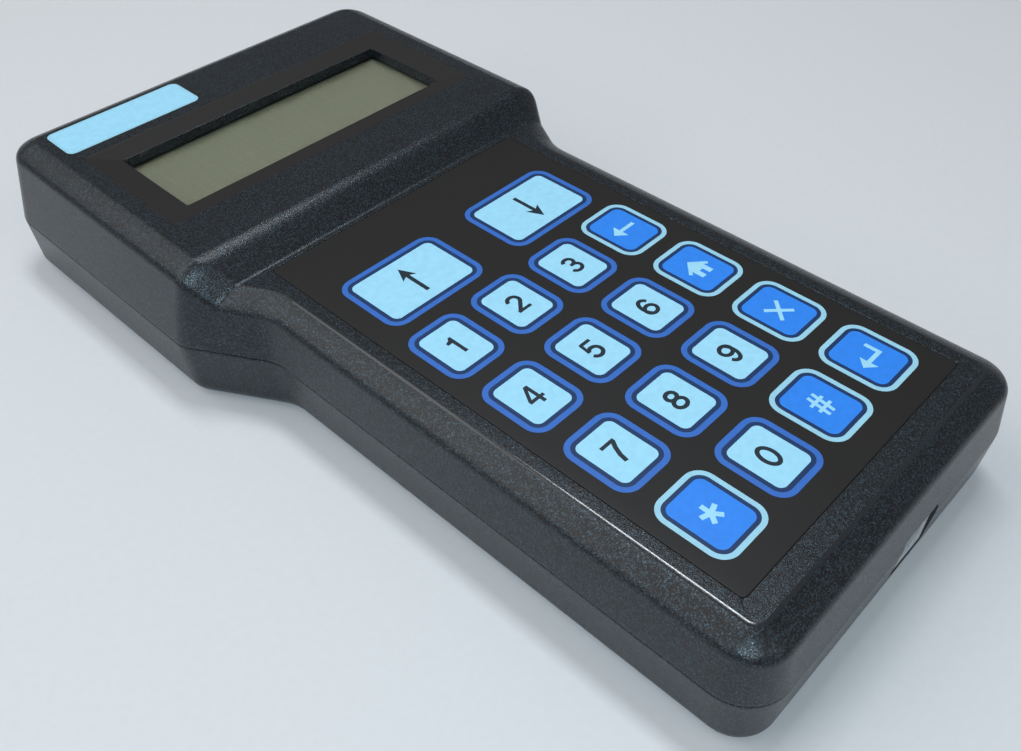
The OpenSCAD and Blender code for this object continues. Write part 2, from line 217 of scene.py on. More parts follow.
def outline(d, head=0.0, foot=0.0, crown=0.0, neck=0.0):
    """The case's plan outline, set in by d, anticlockwise from the right end of the foot."""
    body = BODY_W / 2 - d
    wide = HEAD_W / 2 - d - head
    low = -CASE_L / 2 + d - foot
    high = CASE_L / 2 - d + crown
    foot_r, crown_r = FOOT_R - d, CROWN_R - d
    in_r, out_r = NECK_IN_R + d, NECK_OUT_R - d
    start = NECK_START + d * (1 - math.cos(FLARE)) / math.sin(FLARE) + neck
    end = start + (wide - body) / math.tan(FLARE)
    turn = math.degrees(FLARE)
    half_tan = math.tan(FLARE / 2)
    inner = arc(body + in_r, start - in_r * half_tan, in_r, 180, 180 - turn)
    outer = arc(wide - out_r, end + out_r * half_tan, out_r, -turn, 0)
    (px, py), (qx, qy) = inner[-1], outer[0]
    steps = [i / FLARE_STEPS for i in range(1, FLARE_STEPS)]
    flare = [(px + (qx - px) * t, py + (qy - py) * t) for t in steps]
    half = arc(body - foot_r, low + foot_r, foot_r, -90, 0) + inner + flare + outer
    half += arc(wide - crown_r, high - crown_r, crown_r, 0, 90)
    return half + [(-x, y) for x, y in reversed(half)]


def soft_ramp(y, start, end, rise, soft_start, soft_end):
    """Height of a straight ramp whose two corners are rounded over soft_start and soft_end."""
    slope = rise / (end - start)

    def bend(t, soft):
        if t <= -soft:
            return 0.0
        if t >= soft:
            return t
        return (t + soft) ** 2 / (4 * soft)
    return slope * (bend(y - start, soft_start) - bend(y - end, soft_end))


def face_at(y):
    """Height of the case's face at y: the keypad's face, the slope and the head's face."""
    return FACE_Z + soft_ramp(y, SLOPE_FOOT, SLOPE_TOP, HEAD_RISE, SLOPE_FOOT_SOFT, SLOPE_TOP_SOFT)


def ceiling_at(y):
    """Height of the front shell's inside at y."""
    low = FACE_Z - CEILING_BODY
    rise = HEAD_Z - CEILING_HEAD - low
    return low + soft_ramp(y, SLOPE_FOOT, SLOPE_TOP, rise, CEILING_SOFT, CEILING_SOFT)


# ---- rings of points in space ----
def level(points, z):
    return [(x, y, z) for x, y in points]


def under_face(d, drop):
    """A ring of the front shell, set in by d, at a depth below the local face."""
    points = outline(d, HEAD_IN, 0.0, CROWN_OUT, NECK_UP)
    return [(x, y, face_at(y) - drop) for x, y in points]


def above_base(d, z):
    return level(outline(d, BASE_HEAD_IN, BASE_FOOT_OUT, 0.0, BASE_NECK_DOWN), z)


def between(a, b, t):
    """The ring a share t of the way from ring a to ring b."""
    return [tuple(p + (q - p) * t for p, q in zip(u, v)) for u, v in zip(a, b)]


# ---- mesh building ----
def make_ring(bm, points):
    return [bm.verts.new(Vector(p) * MM) for p in points]


def bridge(bm, a, b, material=0):
    """Quads between two rings of the same length."""
    n = len(a)
    faces = [bm.faces.new((a[i], a[(i + 1) % n], b[(i + 1) % n], b[i])) for i in range(n)]
    for face in faces:
        face.material_index = material
    return faces


def loft(bm, rings, material=0):
    """Skins a list of rings of points, and gives the first and last ring of vertices."""
    made = [make_ring(bm, r) for r in rings]
    for a, b in zip(made, made[1:]):
        bridge(bm, a, b, material)
    return made[0], made[-1]


def join_rings(bm, start, rings, material=0):
    """Skins on from a ring of vertices through rings of points, and gives the last ring."""
    for points in rings:
        ring = make_ring(bm, points)
        bridge(bm, start, ring, material)
        start = ring
    return start


def inside(x, y, loop):
    """Whether a point lies inside a closed loop of points."""
    hit = False
    x0, y0 = loop[-1]
    for x1, y1 in loop:
        if (y0 > y) != (y1 > y) and x < x0 + (x1 - x0) * (y - y0) / (y1 - y0):
            hit = not hit
        x0, y0 = x1, y1
    return hit


def flat_loop(verts):
    return [(v.co.x / MM, v.co.y / MM) for v in verts]


def cover(bm, outer, holes=(), chords=(), material_at=None, lines=(), z=None):
    """Triangles that cover the region inside one loop of vertices and outside the others.

    chords are pairs of vertices to keep as edges. lines are extra closed loops of points, drawn
    into the surface at height z, and material_at(x, y) gives each triangle's material.
    """
    loops = [outer, *holes]
    verts = [v for loop in loops for v in loop]
    index = {v: i for i, v in enumerate(verts)}
    points = [Vector(p) for p in flat_loop(verts)]
    edges = [(index[a], index[b]) for loop in loops for a, b in zip(loop, loop[1:] + loop[:1])]
    edges += [(index[a], index[b]) for a, b in chords]
    for line in lines:
        first = len(points)
        points += [Vector(p) for p in line]
        edges += [(first + i, first + (i + 1) % len(line)) for i in range(len(line))]
    out, _, faces, origin, _, _ = delaunay_2d_cdt(points, edges, [], 0, 1e-5)
    known = {}
    for i, source in enumerate(origin):
        old = [k for k in source if k < len(verts)]
        if old:
            known[i] = verts[old[0]]
    flat = [flat_loop(loop) for loop in loops]
    for face in faces:
        x = sum(out[i].x for i in face) / len(face)
        y = sum(out[i].y for i in face) / len(face)
        if not inside(x, y, flat[0]) or any(inside(x, y, hole) for hole in flat[1:]):
            continue
        for i in face:
            if i not in known:
                known[i] = bm.verts.new(Vector((out[i].x, out[i].y, z)) * MM)
        made = bm.faces.new([known[i] for i in face])
        if material_at:
            made.material_index = material_at(x, y)


def link_mesh(bm, name, materials=()):
    """Turns a bmesh into an object in the scene."""
    mesh = bpy.data.meshes.new(name)
    bm.to_mesh(mesh)
    bm.free()
    for material in materials:
        mesh.materials.append(material)
    piece = bpy.data.objects.new(name, mesh)
    bpy.context.scene.collection.objects.link(piece)
    return piece


def finish_mesh(bm, name, body, weighted=True):
    """Turns a bmesh into a smooth-shaded piece with its sharp edges kept, riding on a body."""
    bmesh.ops.recalc_face_normals(bm, faces=bm.faces)
    for face in bm.faces:
        face.smooth = True
    for edge in bm.edges:
        edge.smooth = len(edge.link_faces) == 2 and edge.calc_face_angle(0.0) < SHARP
    piece = link_mesh(bm, name)
    if weighted:
        modifier = piece.modifiers.new("flat faces stay flat", "WEIGHTED_NORMAL")
        modifier.keep_sharp = True
        modifier.weight = 80
    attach(piece, body)
    return piece


def tube(bm, profile, cx, cy, steps=40):
    """A closed solid of revolution about a vertical axis, from a closed profile of (r, z)."""
    rings = [make_ring(bm, level(circle(r, cx, cy, steps), z)) for r, z in profile]
    for a, b in zip(rings, rings[1:] + rings[:1]):
        bridge(bm, a, b)


# ---- materials ----
class Shader:
    """A node material, built node by node."""

    def __init__(self, name, color, roughness, metallic=0.0):
        self.material = bpy.data.materials.new(name)
        self.material.use_nodes = True
        self.tree = self.material.node_tree
        self.surface = self.tree.nodes["Principled BSDF"]
        self.surface.inputs["Base Color"].default_value = (*color, 1)
        self.surface.inputs["Roughness"].default_value = roughness
        self.surface.inputs["Metallic"].default_value = metallic
        self.place = self.tree.nodes.new("ShaderNodeTexCoord").outputs["Object"]

    def node(self, kind, **inputs):
        made = self.tree.nodes.new("ShaderNode" + kind)
        for name, value in inputs.items():
            socket = made.inputs[name.replace("_", " ")]
            if isinstance(value, bpy.types.NodeSocket):
                self.tree.links.new(value, socket)
            else:
                socket.default_value = value
        return made

    def noise(self, size, detail=2.0, stretch=None):
        """Noise with features of about size millimetres."""
        place = self.place
        if stretch:
            place = self.node("Mapping", Vector=place, Scale=stretch).outputs["Vector"]
        made = self.node("TexNoise", Vector=place, Scale=1 / (size * MM), Detail=detail)
        return made.outputs["Fac"]

    def cells(self, size):
        """A random grey for each cell of about size millimetres, and the distance to its middle."""
        made = self.node("TexVoronoi", Vector=self.place, Scale=1 / (size * MM))
        return made.outputs["Color"], made.outputs["Distance"]

    def ramp(self, value, low, high, start, end):
        """Maps low..high of a value to start..end, held at both ends."""
        made = self.node("MapRange", Value=value, From_Min=low, From_Max=high, To_Min=start, To_Max=end)
        return made.outputs["Result"]

    def blend(self, factor, a, b):
        made = self.tree.nodes.new("ShaderNodeMix")
        made.data_type = "RGBA"
        sockets = [s for s in made.inputs if s.type == "RGBA"]
        self.tree.links.new(factor, made.inputs[0])
        for socket, value in zip(sockets, (a, b)):
            if isinstance(value, bpy.types.NodeSocket):
                self.tree.links.new(value, socket)
            else:
                socket.default_value = (*value, 1)
        return next(s for s in made.outputs if s.type == "RGBA")

    def color(self, value):
        self.tree.links.new(value, self.surface.inputs["Base Color"])

    def rough(self, value):
        self.tree.links.new(value, self.surface.inputs["Roughness"])

    def bump(self, *layers):
        """Adds bumps, each given as (height, depth in millimetres)."""
        normal = None
        for height, depth in layers:
            made = self.node("Bump", Height=height, Strength=1.0, Distance=depth * MM)
            if normal:
                self.tree.links.new(normal, made.inputs["Normal"])
            normal = made.outputs["Normal"]
        self.tree.links.new(normal, self.surface.inputs["Normal"])


def case_plastic():
    """Black moulded plastic with a spark-eroded grain: fine pits, and flecks that catch the light."""
    s = Shader("case_plastic", (0.01, 0.012, 0.014), 0.42)
    s.surface.inputs["Specular IOR Level"].default_value = 0.46
    grain = s.noise(0.22, 3.0)
    tint, middle = s.cells(0.22)
    handled = s.noise(28.0, 2.0)
    fleck = s.ramp(tint, 0.58, 0.97, 0.0, 1.0)
    worn = s.ramp(handled, 0.35, 0.65, 0.0, 1.0)
    base = s.blend(worn, (0.0062, 0.0063, 0.0074), (0.0088, 0.0090, 0.0104))
    s.color(s.blend(fleck, base, (0.090, 0.135, 0.170)))
    s.tree.links.new(s.ramp(fleck, 0.0, 1.0, 0.0, 0.9), s.surface.inputs["Metallic"])
    s.rough(s.ramp(grain, 0.3, 0.7, 0.20, 0.36))
    s.bump((grain, 0.035), (middle, 0.03))
    return s.material


def polished_edge_with_painted_glint():
    """The same black plastic where handling has rubbed its grain smooth, with a lighter colour painted
    in as a highlight along the crease.
    """
    s = Shader("case_edge", (0.012, 0.015, 0.018), 0.2)
    rub = s.noise(0.6, 3.0)
    # the lighter colour is a painted highlight: the glint along the crease
    s.color(s.blend(rub, (0.010, 0.012, 0.014), (0.022, 0.027, 0.032)))
    s.surface.inputs["Specular IOR Level"].default_value = 0.8
    s.rough(s.ramp(rub, 0.3, 0.7, 0.12, 0.22))
    s.bump((s.noise(0.3, 2.0), 0.01))
    return s.material


def satin_black(name, low, high):
    """A smooth, matt black: the print under the film, and the bevel round the display."""
    s = Shader(name, low, 0.5)
    s.surface.inputs["Specular IOR Level"].default_value = 0.36
    fine = s.noise(0.16, 2.0)
    cloud = s.noise(22.0, 2.0)
    s.color(s.blend(cloud, low, high))
    s.rough(s.ramp(fine, 0.3, 0.7, 0.42, 0.54))
    s.bump((fine, 0.008))
    return s.material


def ink(name, color):
    """An ink printed under the film, with the film's fine grain over it."""
    s = Shader(name, color, 0.42)
    fine = s.noise(0.16, 2.0)
    mottle = s.noise(1.6, 3.0)
    darker = tuple(c * 0.93 for c in color)
    s.color(s.blend(s.ramp(mottle, 0.35, 0.65, 0.0, 1.0), darker, color))
    s.rough(s.ramp(fine, 0.3, 0.7, 0.36, 0.48))
    s.bump((fine, 0.006))
    return s.material


def moulded(name, color, roughness, grain_mm=0.3, depth=0.01):
    """A plain moulded plastic with a slight grain and cloudy colour."""
    s = Shader(name, color, roughness)
    grain = s.noise(grain_mm, 2.0)
    cloud = s.noise(6.0, 2.0)
    s.color(s.blend(cloud, tuple(c * 0.9 for c in color), tuple(min(1, c * 1.08) for c in color)))
    s.rough(s.ramp(grain, 0.3, 0.7, roughness * 0.88, roughness * 1.12))
    s.bump((grain, depth))
    return s.material


def steel(name, color, roughness, grain_mm=0.08):
    """Metal with short drawn marks."""
    s = Shader(name, color, roughness, 1.0)
    drawn = s.noise(grain_mm, 3.0, (1.0, 1.0, 0.08))
    stain = s.noise(2.5, 2.0)
    s.color(s.blend(stain, tuple(c * 0.85 for c in color), color))
    s.rough(s.ramp(drawn, 0.3, 0.7, roughness * 0.8, roughness * 1.25))
    s.bump((drawn, 0.003))
    return s.material


def circuit_board():
    """Green solder mask over a weave, with tracks as faint raised lines."""
    s = Shader("circuit_board", (0.01, 0.10, 0.04), 0.3)
    tracks = s.node("TexBrick", Vector=s.place, Scale=1 / (5.0 * MM), Mortar_Size=0.05)
    tracks.offset = 0.37
    weave = s.noise(0.5, 2.0)
    green = s.blend(weave, (0.008, 0.085, 0.034), (0.012, 0.115, 0.048))
    s.color(s.blend(tracks.outputs["Fac"], green, (0.03, 0.20, 0.09)))
    s.rough(s.ramp(weave, 0.3, 0.7, 0.25, 0.36))
    s.bump((weave, 0.01), (tracks.outputs["Fac"], 0.03))
    return s.material


def display_cell():
    """The display's olive face, with its unlit character blocks just visible."""
    s = Shader("lcd_cell", (0.2, 0.2, 0.1), 0.3)
    place = s.node("Mapping", Vector=s.place, Location=(0.0, 0.0017, 0.0)).outputs["Vector"]
    blocks = s.node("TexBrick", Vector=place, Scale=1 / (7.2 * MM), Mortar_Size=0.05)
    blocks.offset = 0.0
    blocks.inputs["Brick Width"].default_value = 0.5
    blocks.inputs["Row Height"].default_value = 0.75
    haze = s.noise(0.25, 2.0)
    cloud = s.noise(30.0, 1.0)
    olive = s.blend(cloud, (0.33, 0.325, 0.215), (0.375, 0.37, 0.255))
    s.color(s.blend(s.ramp(blocks.outputs["Fac"], 0.0, 1.0, 0.0, 0.10), olive, (0.48, 0.48, 0.34)))
    s.rough(s.ramp(haze, 0.3, 0.7, 0.26, 0.36))
    s.bump((haze, 0.002))
    return s.material


def clear_pane():
    """The clear window, with faint dust and rub marks."""
    s = Shader("clear_window", (0.95, 0.97, 0.96), 0.04)
    s.surface.inputs["Transmission Weight"].default_value = 1.0
    s.surface.inputs["IOR"].default_value = 1.49
    dust = s.noise(1.2, 4.0)
    s.rough(s.ramp(dust, 0.35, 0.75, 0.02, 0.09))
    s.bump((s.noise(9.0, 1.0), 0.004))
    return s.material


MATERIALS = {
    "case_plastic": case_plastic(),
    "overlay_film": satin_black("overlay_film", (0.0106, 0.0092, 0.0088), (0.0148, 0.0129, 0.0124)),
    "spacer_plastic": moulded("spacer_plastic", (0.62, 0.58, 0.47), 0.4),
    "dome_steel": steel("dome_steel", (0.62, 0.62, 0.60), 0.22),
    "circuit_film": moulded("circuit_film", (0.50, 0.30, 0.05), 0.3, 0.5),
    "connector_plastic": moulded("connector_plastic", (0.03, 0.03, 0.03), 0.45),
    "label_film": ink("label_film", (0.42, 0.75, 0.93)),
    "gasket_foam": moulded("gasket_foam", (0.012, 0.012, 0.012), 0.9, 0.25, 0.06),
    "black_frame": steel("black_frame", (0.03, 0.03, 0.033), 0.4),
    "lcd_cell": display_cell(),
    "clear_window": clear_pane(),
    "light_guide": moulded("light_guide", (0.78, 0.76, 0.60), 0.3),
    "circuit_board": circuit_board(),
    "chip_epoxy": moulded("chip_epoxy", (0.018, 0.018, 0.02), 0.55, 0.12, 0.012),
    "capacitor_sleeve": moulded("capacitor_sleeve", (0.02, 0.035, 0.12), 0.3),
    "screw_steel": steel("screw_steel", (0.55, 0.55, 0.54), 0.3),
    "jack_plastic": moulded("jack_plastic", (0.50, 0.52, 0.53), 0.35),
    "contact_gold": steel("contact_gold", (0.85, 0.58, 0.22), 0.2),
}
# the crease strip's material: smoother plastic, with a lighter colour that is a painted highlight
POLISHED_WITH_GLINT = polished_edge_with_painted_glint()
SMOOTH = satin_black("case_bevel", (0.0150, 0.0135, 0.0125), (0.0190, 0.0168, 0.0156))
CASE_MATERIALS = (MATERIALS["case_plastic"], POLISHED_WITH_GLINT, SMOOTH)
PLAIN_FACE, POLISHED_GLINT_FACE, SMOOTH_FACE = range(3)
PALE = ink("ink_pale", (0.38, 0.76, 0.97))
DEEP = ink("ink_deep_blue", (0.033, 0.155, 0.56))
NAVY = ink("ink_navy", (0.003, 0.032, 0.12))
VIVID = ink("ink_vivid_blue", (0.024, 0.25, 0.90))
RIM = ink("ink_pale_rim", (0.36, 0.68, 0.84))
DARK = ink("ink_dark", (0.008, 0.02, 0.034))


def paint(piece, slot, *materials):
    """Gives a new piece its materials, in the order of its faces' material indices."""
    for material in materials or (MATERIALS[slot],):
        piece.data.materials.append(material)


# ---- case ----
def ring_chords(ring, low, high):
    """Pairs of vertices straight across the case, for those that lie between two heights of y."""
    n = len(ring)
    return [(ring[i], ring[n - 1 - i]) for i in range(n // 2) if low < ring[i].co.y / MM < high]


def recess(bm, shape, depth, z, edge):
    """A sunk panel: its top loop for the face to meet, and its floor's loop.

    shape(grow) gives its outline, and edge is the size of the round at its top.
    """
    steps = [(edge, 0), (edge * 0.3, edge * 0.3), (0, edge), (0, depth)]
    return loft(bm, [level(shape(grow), z - drop) for grow, drop in steps])


def sheet_shape(grow):
    side = GAP + grow
    w, h = SHEET_SIZE.x + 2 * side, SHEET_SIZE.y + 2 * side
    return rounded_rect(w, h, SHEET_R + side, SHEET.x, SHEET.y)


def label_shape(grow):
    w, h = LABEL_SIZE.x + 2 * grow, LABEL_SIZE.y + 2 * grow
    return rounded_rect(w, h, LABEL_R + grow, LABEL.x, LABEL.y)


def slot_shape():
    width, height, y = TAIL_SLOT
    return rounded_rect(width, height, TAIL_SLOT_R, 0, y, 4)


def window_shape(grow):
    w, h = PANE_SIZE.x - 2 * SKIRT + 2 * grow, PANE_SIZE.y - 2 * SKIRT + 2 * grow
    return rounded_rect(w, h, WINDOW_R + grow, 0, centre_mm("display_window").y)


def bevel_shape(grow):
    w, h = BEVEL_SIZE[0] + 2 * grow, BEVEL_SIZE[1] + 2 * grow
    return rounded_rect(w, h, BEVEL_R + grow, 0, BEVEL_Y)


def display_surround(bm):
    """The shallow bevel round the display and the walls down to the pane, then back up outside them."""
    edge = HEAD_Z - BEVEL_DROP
    bevel = [level(bevel_shape(grow), HEAD_Z - drop) for grow, drop in BEVEL_EDGE]
    bevel.append(level(window_shape(WINDOW_SOFT), edge))
    outer, inner = loft(bm, bevel, SMOOTH_FACE)
    walls = [level(window_shape(grow), edge - drop) for grow, drop in WINDOW_EDGE]
    walls += [level(window_shape(0.0), PANE_TOP), level(window_shape(SKIRT), PANE_TOP)]
    walls.append(level(window_shape(SKIRT), HEAD_Z - CEILING_HEAD))
    return outer, join_rings(bm, inner, walls)


def jack_cutter():
    """The shape of the cut for the data jack, with a slightly flared mouth."""
    bm = bmesh.new()
    width, height = JACK_W + 2 * GAP, JACK_H + 2 * GAP
    end = -CASE_L / 2
    steps = [(end + JACK_CUT, 0.0), (end + MOUTH_START, 0.0), (end + MOUTH_END, MOUTH_FLARE),
        (end - CUT_OVERSHOOT, MOUTH_FLARE)]
    rings = []
    for y, grow in steps:
        loop = rounded_rect(width + grow, height + grow, JACK_R + grow / 2, JACK_X, JACK_Z, 4)
        rings.append([(px, y, pz) for px, pz in loop])
    first, last = loft(bm, rings)
    bm.faces.new(first)
    bm.faces.new(last)
    bmesh.ops.recalc_face_normals(bm, faces=bm.faces)
    return link_mesh(bm, "jack_cutter")


def cut(bm, cutter):
    """Takes the cutter away from a closed bmesh, and gives the result as a new one."""
    bmesh.ops.recalc_face_normals(bm, faces=bm.faces)
    piece = link_mesh(bm, "uncut", CASE_MATERIALS)
    modifier = piece.modifiers.new("cut", "BOOLEAN")
    modifier.operation = "DIFFERENCE"
    modifier.solver = "EXACT"
    modifier.object = cutter
    graph = bpy.context.evaluated_depsgraph_get()
    result = bmesh.new()
    result.from_mesh(piece.evaluated_get(graph).to_mesh())
    bpy.data.objects.remove(piece)
    return result


def boss(bm, outer_r, hole_r, bottom, top, cx, cy):
    tube(bm, [(outer_r, bottom), (outer_r, top), (hole_r, top), (hole_r, bottom)], cx, cy)


def shoulder():
    """The upper edge's profile as (inset, drop): a round, then a crowned chamfer to the face."""
    steps = SHOULDER_STEPS
    turn = ROUND_TO - ROUND_FROM
    angles = [math.radians(ROUND_FROM + turn * i / steps) for i in range(steps + 1)]
    curve = [(ROUND_IN - ROUND_R * math.cos(a), ROUND_DOWN - ROUND_R * math.sin(a)) for a in angles]
    x0, z0 = curve[-1]
    run, rise = FACE_IN - x0, z0
    start = math.tan(math.radians(90 - ROUND_TO)) * run
    end = math.tan(math.radians(FACE_CREASE)) * run
    for i in range(1, steps):
        t = i / (steps + 1)
        ease = (3 - 2 * t) * t * t
        lift = rise * ease + start * t * (1 - t) ** 2 - end * t * t * (1 - t)
        curve.append((x0 + run * t, z0 - lift))
    return curve


def seam_rim(inner, seam, side):
    """Rings from inside a shell's rim out round its soft edge. side is 1 above the seam and -1 below."""
    return [level(outline(inner), seam), level(outline(SEAM_ROUND), seam),
        level(outline(SEAM_ROUND * SEAM_EDGE), seam + side * SEAM_ROUND * SEAM_EDGE)]


def front_shell(cutter):
    bm = bmesh.new()
    seam = SEAM_Z + SEAM_GAP
    start = level(outline(0.0), seam + SEAM_ROUND)
    bend = [under_face(d, drop) for d, drop in shoulder()]
    wall = [between(start, bend[0], t) for t in (0.0, 0.06, 0.3, 0.6, 0.94)]
    lip_in = WALL - LIP - GAP
    first, last = loft(bm, seam_rim(lip_in, seam, 1) + wall + bend)
    edge = [under_face(FACE_IN + d, drop) for d, drop in POLISHED_BEND]
    face = join_rings(bm, last, edge, POLISHED_GLINT_FACE)
    # the crease strip, with its painted highlight, runs only below the neck
    for strip in bm.faces:
        above_neck = strip.calc_center_median().y / MM > NECK_START
        if strip.material_index == POLISHED_GLINT_FACE and above_neck:
            strip.material_index = PLAIN_FACE
    film_top, film_floor = recess(bm, sheet_shape, RECESS_DEPTH, FACE_Z, RECESS_EDGE)
    label_top, label_floor = recess(bm, label_shape, LABEL_SIZE.z, HEAD_Z, LABEL_EDGE)
    display_top, skirt_top = display_surround(bm)
    slope = (SLOPE_FOOT - SLOPE_FOOT_SOFT - SLOPE_MARGIN, SLOPE_TOP + SLOPE_TOP_SOFT + SLOPE_MARGIN)
    cover(bm, face, [film_top, label_top, display_top], ring_chords(face, *slope))
    cover(bm, label_floor)
    slot_top = make_ring(bm, level(slot_shape(), FACE_Z - RECESS_DEPTH))
    cover(bm, film_floor, [slot_top])
    slot_low = join_rings(bm, slot_top, [[(x, y, ceiling_at(y)) for x, y in slot_shape()]])
    ceiling_plan = outline(WALL + CEILING_IN, HEAD_IN, 0.0, 0.0, NECK_UP)
    ceiling = [(x, y, ceiling_at(y)) for x, y in ceiling_plan]
    above_lip = SEAM_Z + LIP_H + GAP
    inner = [level(outline(lip_in), above_lip), level(outline(WALL), above_lip), ceiling]
    top = join_rings(bm, first, inner)
    slope = (SLOPE_FOOT - CEILING_MARGIN, SLOPE_TOP + CEILING_MARGIN)
    cover(bm, top, [skirt_top, slot_low], ring_chords(top, *slope))
    bm = cut(bm, cutter)
    for x, y in CASE_SCREWS:
        roof = HEAD_Z - CEILING_HEAD if y > SLOPE_TOP else FACE_Z - CEILING_BODY
        boss(bm, BOARD_BOSS_R, FRONT_BORE_R, SEAM_Z + GAP, roof, x, y)
    return finish_mesh(bm, "front_shell_skin", "case")


def back_shell(cutter):
    bm = bmesh.new()
    seam = SEAM_Z - SEAM_GAP
    start = level(outline(0.0), seam - SEAM_ROUND)
    turns = [math.radians(90 - 90 * i / BASE_TURN_STEPS) for i in range(BASE_TURN_STEPS + 1)]
    profile = [(BASE_LEAN + BASE_R * (1 - math.sin(a)), BASE_R * (1 - math.cos(a))) for a in turns]
    bend = [above_base(d, z) for d, z in profile]
    wall = [between(start, bend[0], t) for t in (0.0, 0.06, 0.35, 0.7, 0.95)]
    lip_out = WALL - LIP
    first, base = loft(bm, seam_rim(lip_out, seam, -1) + wall + bend)
    wells = []
    well_tops = []
    for x, y in CASE_SCREWS:
        low, high = loft(bm, [level(circle(COUNTERBORE_R + grow, x, y), z) for grow, z in WELL_EDGE])
        wells.append(low)
        well_tops.append(high)
    cover(bm, base, wells)
    lip_top = SEAM_Z + LIP_H
    inner = [level(outline(lip_out), lip_top), level(outline(WALL), lip_top),
        level(outline(WALL), seam - LIP_ROOT), above_base(BASE_LEAN + WALL, BASE_R + FLOOR_H / 2),
        above_base(BASE_LEAN + BASE_R, FLOOR_H)]
    floor = join_rings(bm, first, inner)
    cover(bm, floor, well_tops)
    bm = cut(bm, cutter)
    foot = FLOOR_H - BOSS_ROOT
    for x, y in CASE_SCREWS:
        tube(bm, [(BASE_BOSS_R, foot), (BASE_BOSS_R, SEAM_Z), (SCREW_HOLE_R, SEAM_Z),
            (SCREW_HOLE_R, COUNTERBORE_H), (COUNTERBORE_R, COUNTERBORE_H), (COUNTERBORE_R, foot)], x, y)
    for x, y in BOARD_SCREWS:
        boss(bm, BOARD_BOSS_R, SMALL_HOLE_R, foot, BOARD_Z, x, y)
    return finish_mesh(bm, "back_shell_skin", "case")


# ---- keypad ----
STROKE = 1.0


def ribbon(points, width=STROKE):
    """A stroke of even width along a path, as one loop."""
    left, right = [], []
    for i, (x, y) in enumerate(points):
        ax, ay = points[max(i - 1, 0)]
        bx, by = points[min(i + 1, len(points) - 1)]
        length = math.hypot(bx - ax, by - ay)
        nx, ny = -(by - ay) / length * width / 2, (bx - ax) / length * width / 2
        left.append((x + nx, y + ny))
        right.append((x - nx, y - ny))
    return [left + right[::-1]]


def hoop(cx, cy, rx, ry, width=STROKE):
    """An oval stroke, as an outer loop and a hole."""
    h = width / 2
    steps = 36
    outer = arc(cx, cy, rx + h, 0, 360 - 360 / steps, steps - 1, ry + h)
    hole = arc(cx, cy, rx - h, 0, 360 - 360 / steps, steps - 1, ry - h)
    return [outer, hole]


def bar(x0, y0, x1, y1):
    return [[(x0, y0), (x1, y0), (x1, y1), (x0, y1)]]


def nine(turned):
    """The strokes of a 9, or of a 6 when it is turned upside down."""
    strokes = [hoop(0, 1.05, 1.55, 1.4), ribbon(arc(-0.05, 0, 1.6, 60, -145, 24, 2.45))]
    if turned:
        strokes = [[[(-x, -y) for x, y in loop] for loop in stroke] for stroke in strokes]
    return strokes


def asterisk():
    arms = [math.radians(90 + 72 * k) for k in range(5)]
    return [ribbon([(0, 0), (2.4 * math.cos(a), 2.4 * math.sin(a))], 1.1) for a in arms]


def hash_sign():
    rises = [ribbon([(x - 0.35, -2.9), (x + 0.45, 2.9)], 0.8) for x in (-0.85, 0.75)]
    return rises + [bar(-2.15, y - 0.38, 2.15, y + 0.38) for y in (-1.0, 1.0)]


def arrow(up):
    """A straight arrow with a barbed head."""
    head = [(0, 5.2), (2.1, 0.9), (0.55, 1.75), (0.55, -5.2), (-0.55, -5.2), (-0.55, 1.75), (-2.1, 0.9)]
    return [[[(x, y if up else -y) for x, y in head]]]


def back_sign():
    """An arrow that points back, to the left."""
    return [[[(-3.7, 0), (-1.1, 2.3), (-1.1, 0.5), (3.6, 0.5), (3.6, -0.5), (-1.1, -0.5), (-1.1, -2.3)]]]


def house_sign():
    roof = [(-3.6, -0.1), (0, 3.1), (3.6, -0.1), (3.0, -0.75), (0, 1.95), (-3.0, -0.75)]
    walls = [(-2.1, 0.3), (-2.1, -2.9), (-0.6, -2.9), (-0.6, -0.9), (0.6, -0.9), (0.6, -2.9),
        (2.1, -2.9), (2.1, 0.3), (0, 2.2)]
    return [[roof], [walls]]


def cross_sign():
    return [ribbon([(-2.4, -2.4), (2.4, 2.4)], 0.95), ribbon([(-2.4, 2.4), (2.4, -2.4)], 0.95)]


def return_sign():
    """An arrow that comes down and turns to the left."""
    return [[[(-3.7, -0.9), (-1.3, -3.1), (-1.3, -1.4), (3.5, -1.4), (3.5, 2.6), (2.5, 2.6), (2.5, -0.4),
        (-1.3, -0.4), (-1.3, 1.3)]]]


